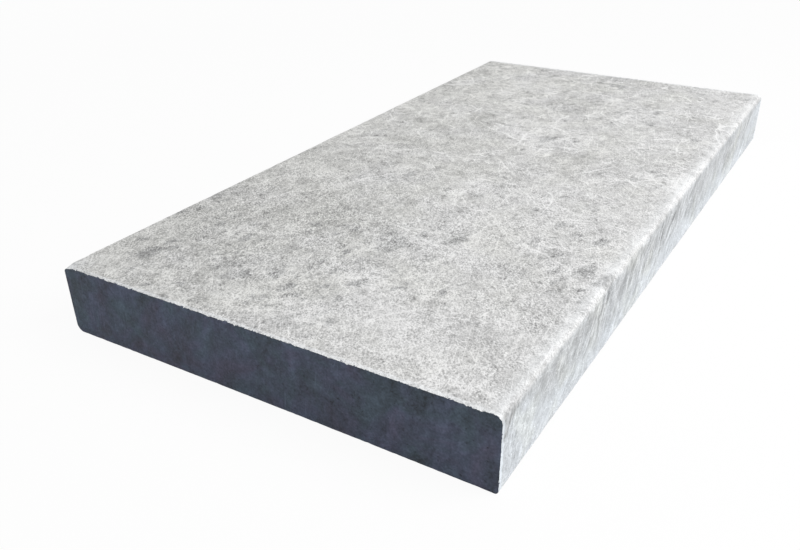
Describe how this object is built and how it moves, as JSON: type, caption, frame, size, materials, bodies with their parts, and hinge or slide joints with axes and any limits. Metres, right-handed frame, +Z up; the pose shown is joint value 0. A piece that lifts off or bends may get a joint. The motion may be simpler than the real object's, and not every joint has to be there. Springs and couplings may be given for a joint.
{
  "type": "wall coping stone",
  "caption": "Flat rectangular stone slab with worn, rounded long edges and square sawn ends; beds on top of a wall to cap it, butted end to end with its neighbours.",
  "frame": {"origin": "middle of the bed face, the underside that lies on the wall", "axes": "+X across the wall, +Y along the wall from one sawn end to the other, +Z up through the weathered top"},
  "size_m": [0.4, 0.8, 0.062],
  "materials": {
    "limestone": "tumbled and bruised pale grey on the top, sides and bed; sawn dark blue-grey on the two ends"
  },
  "bodies": {
    "root": {"coping_stone": "limestone"}
  },
  "joints": []
}
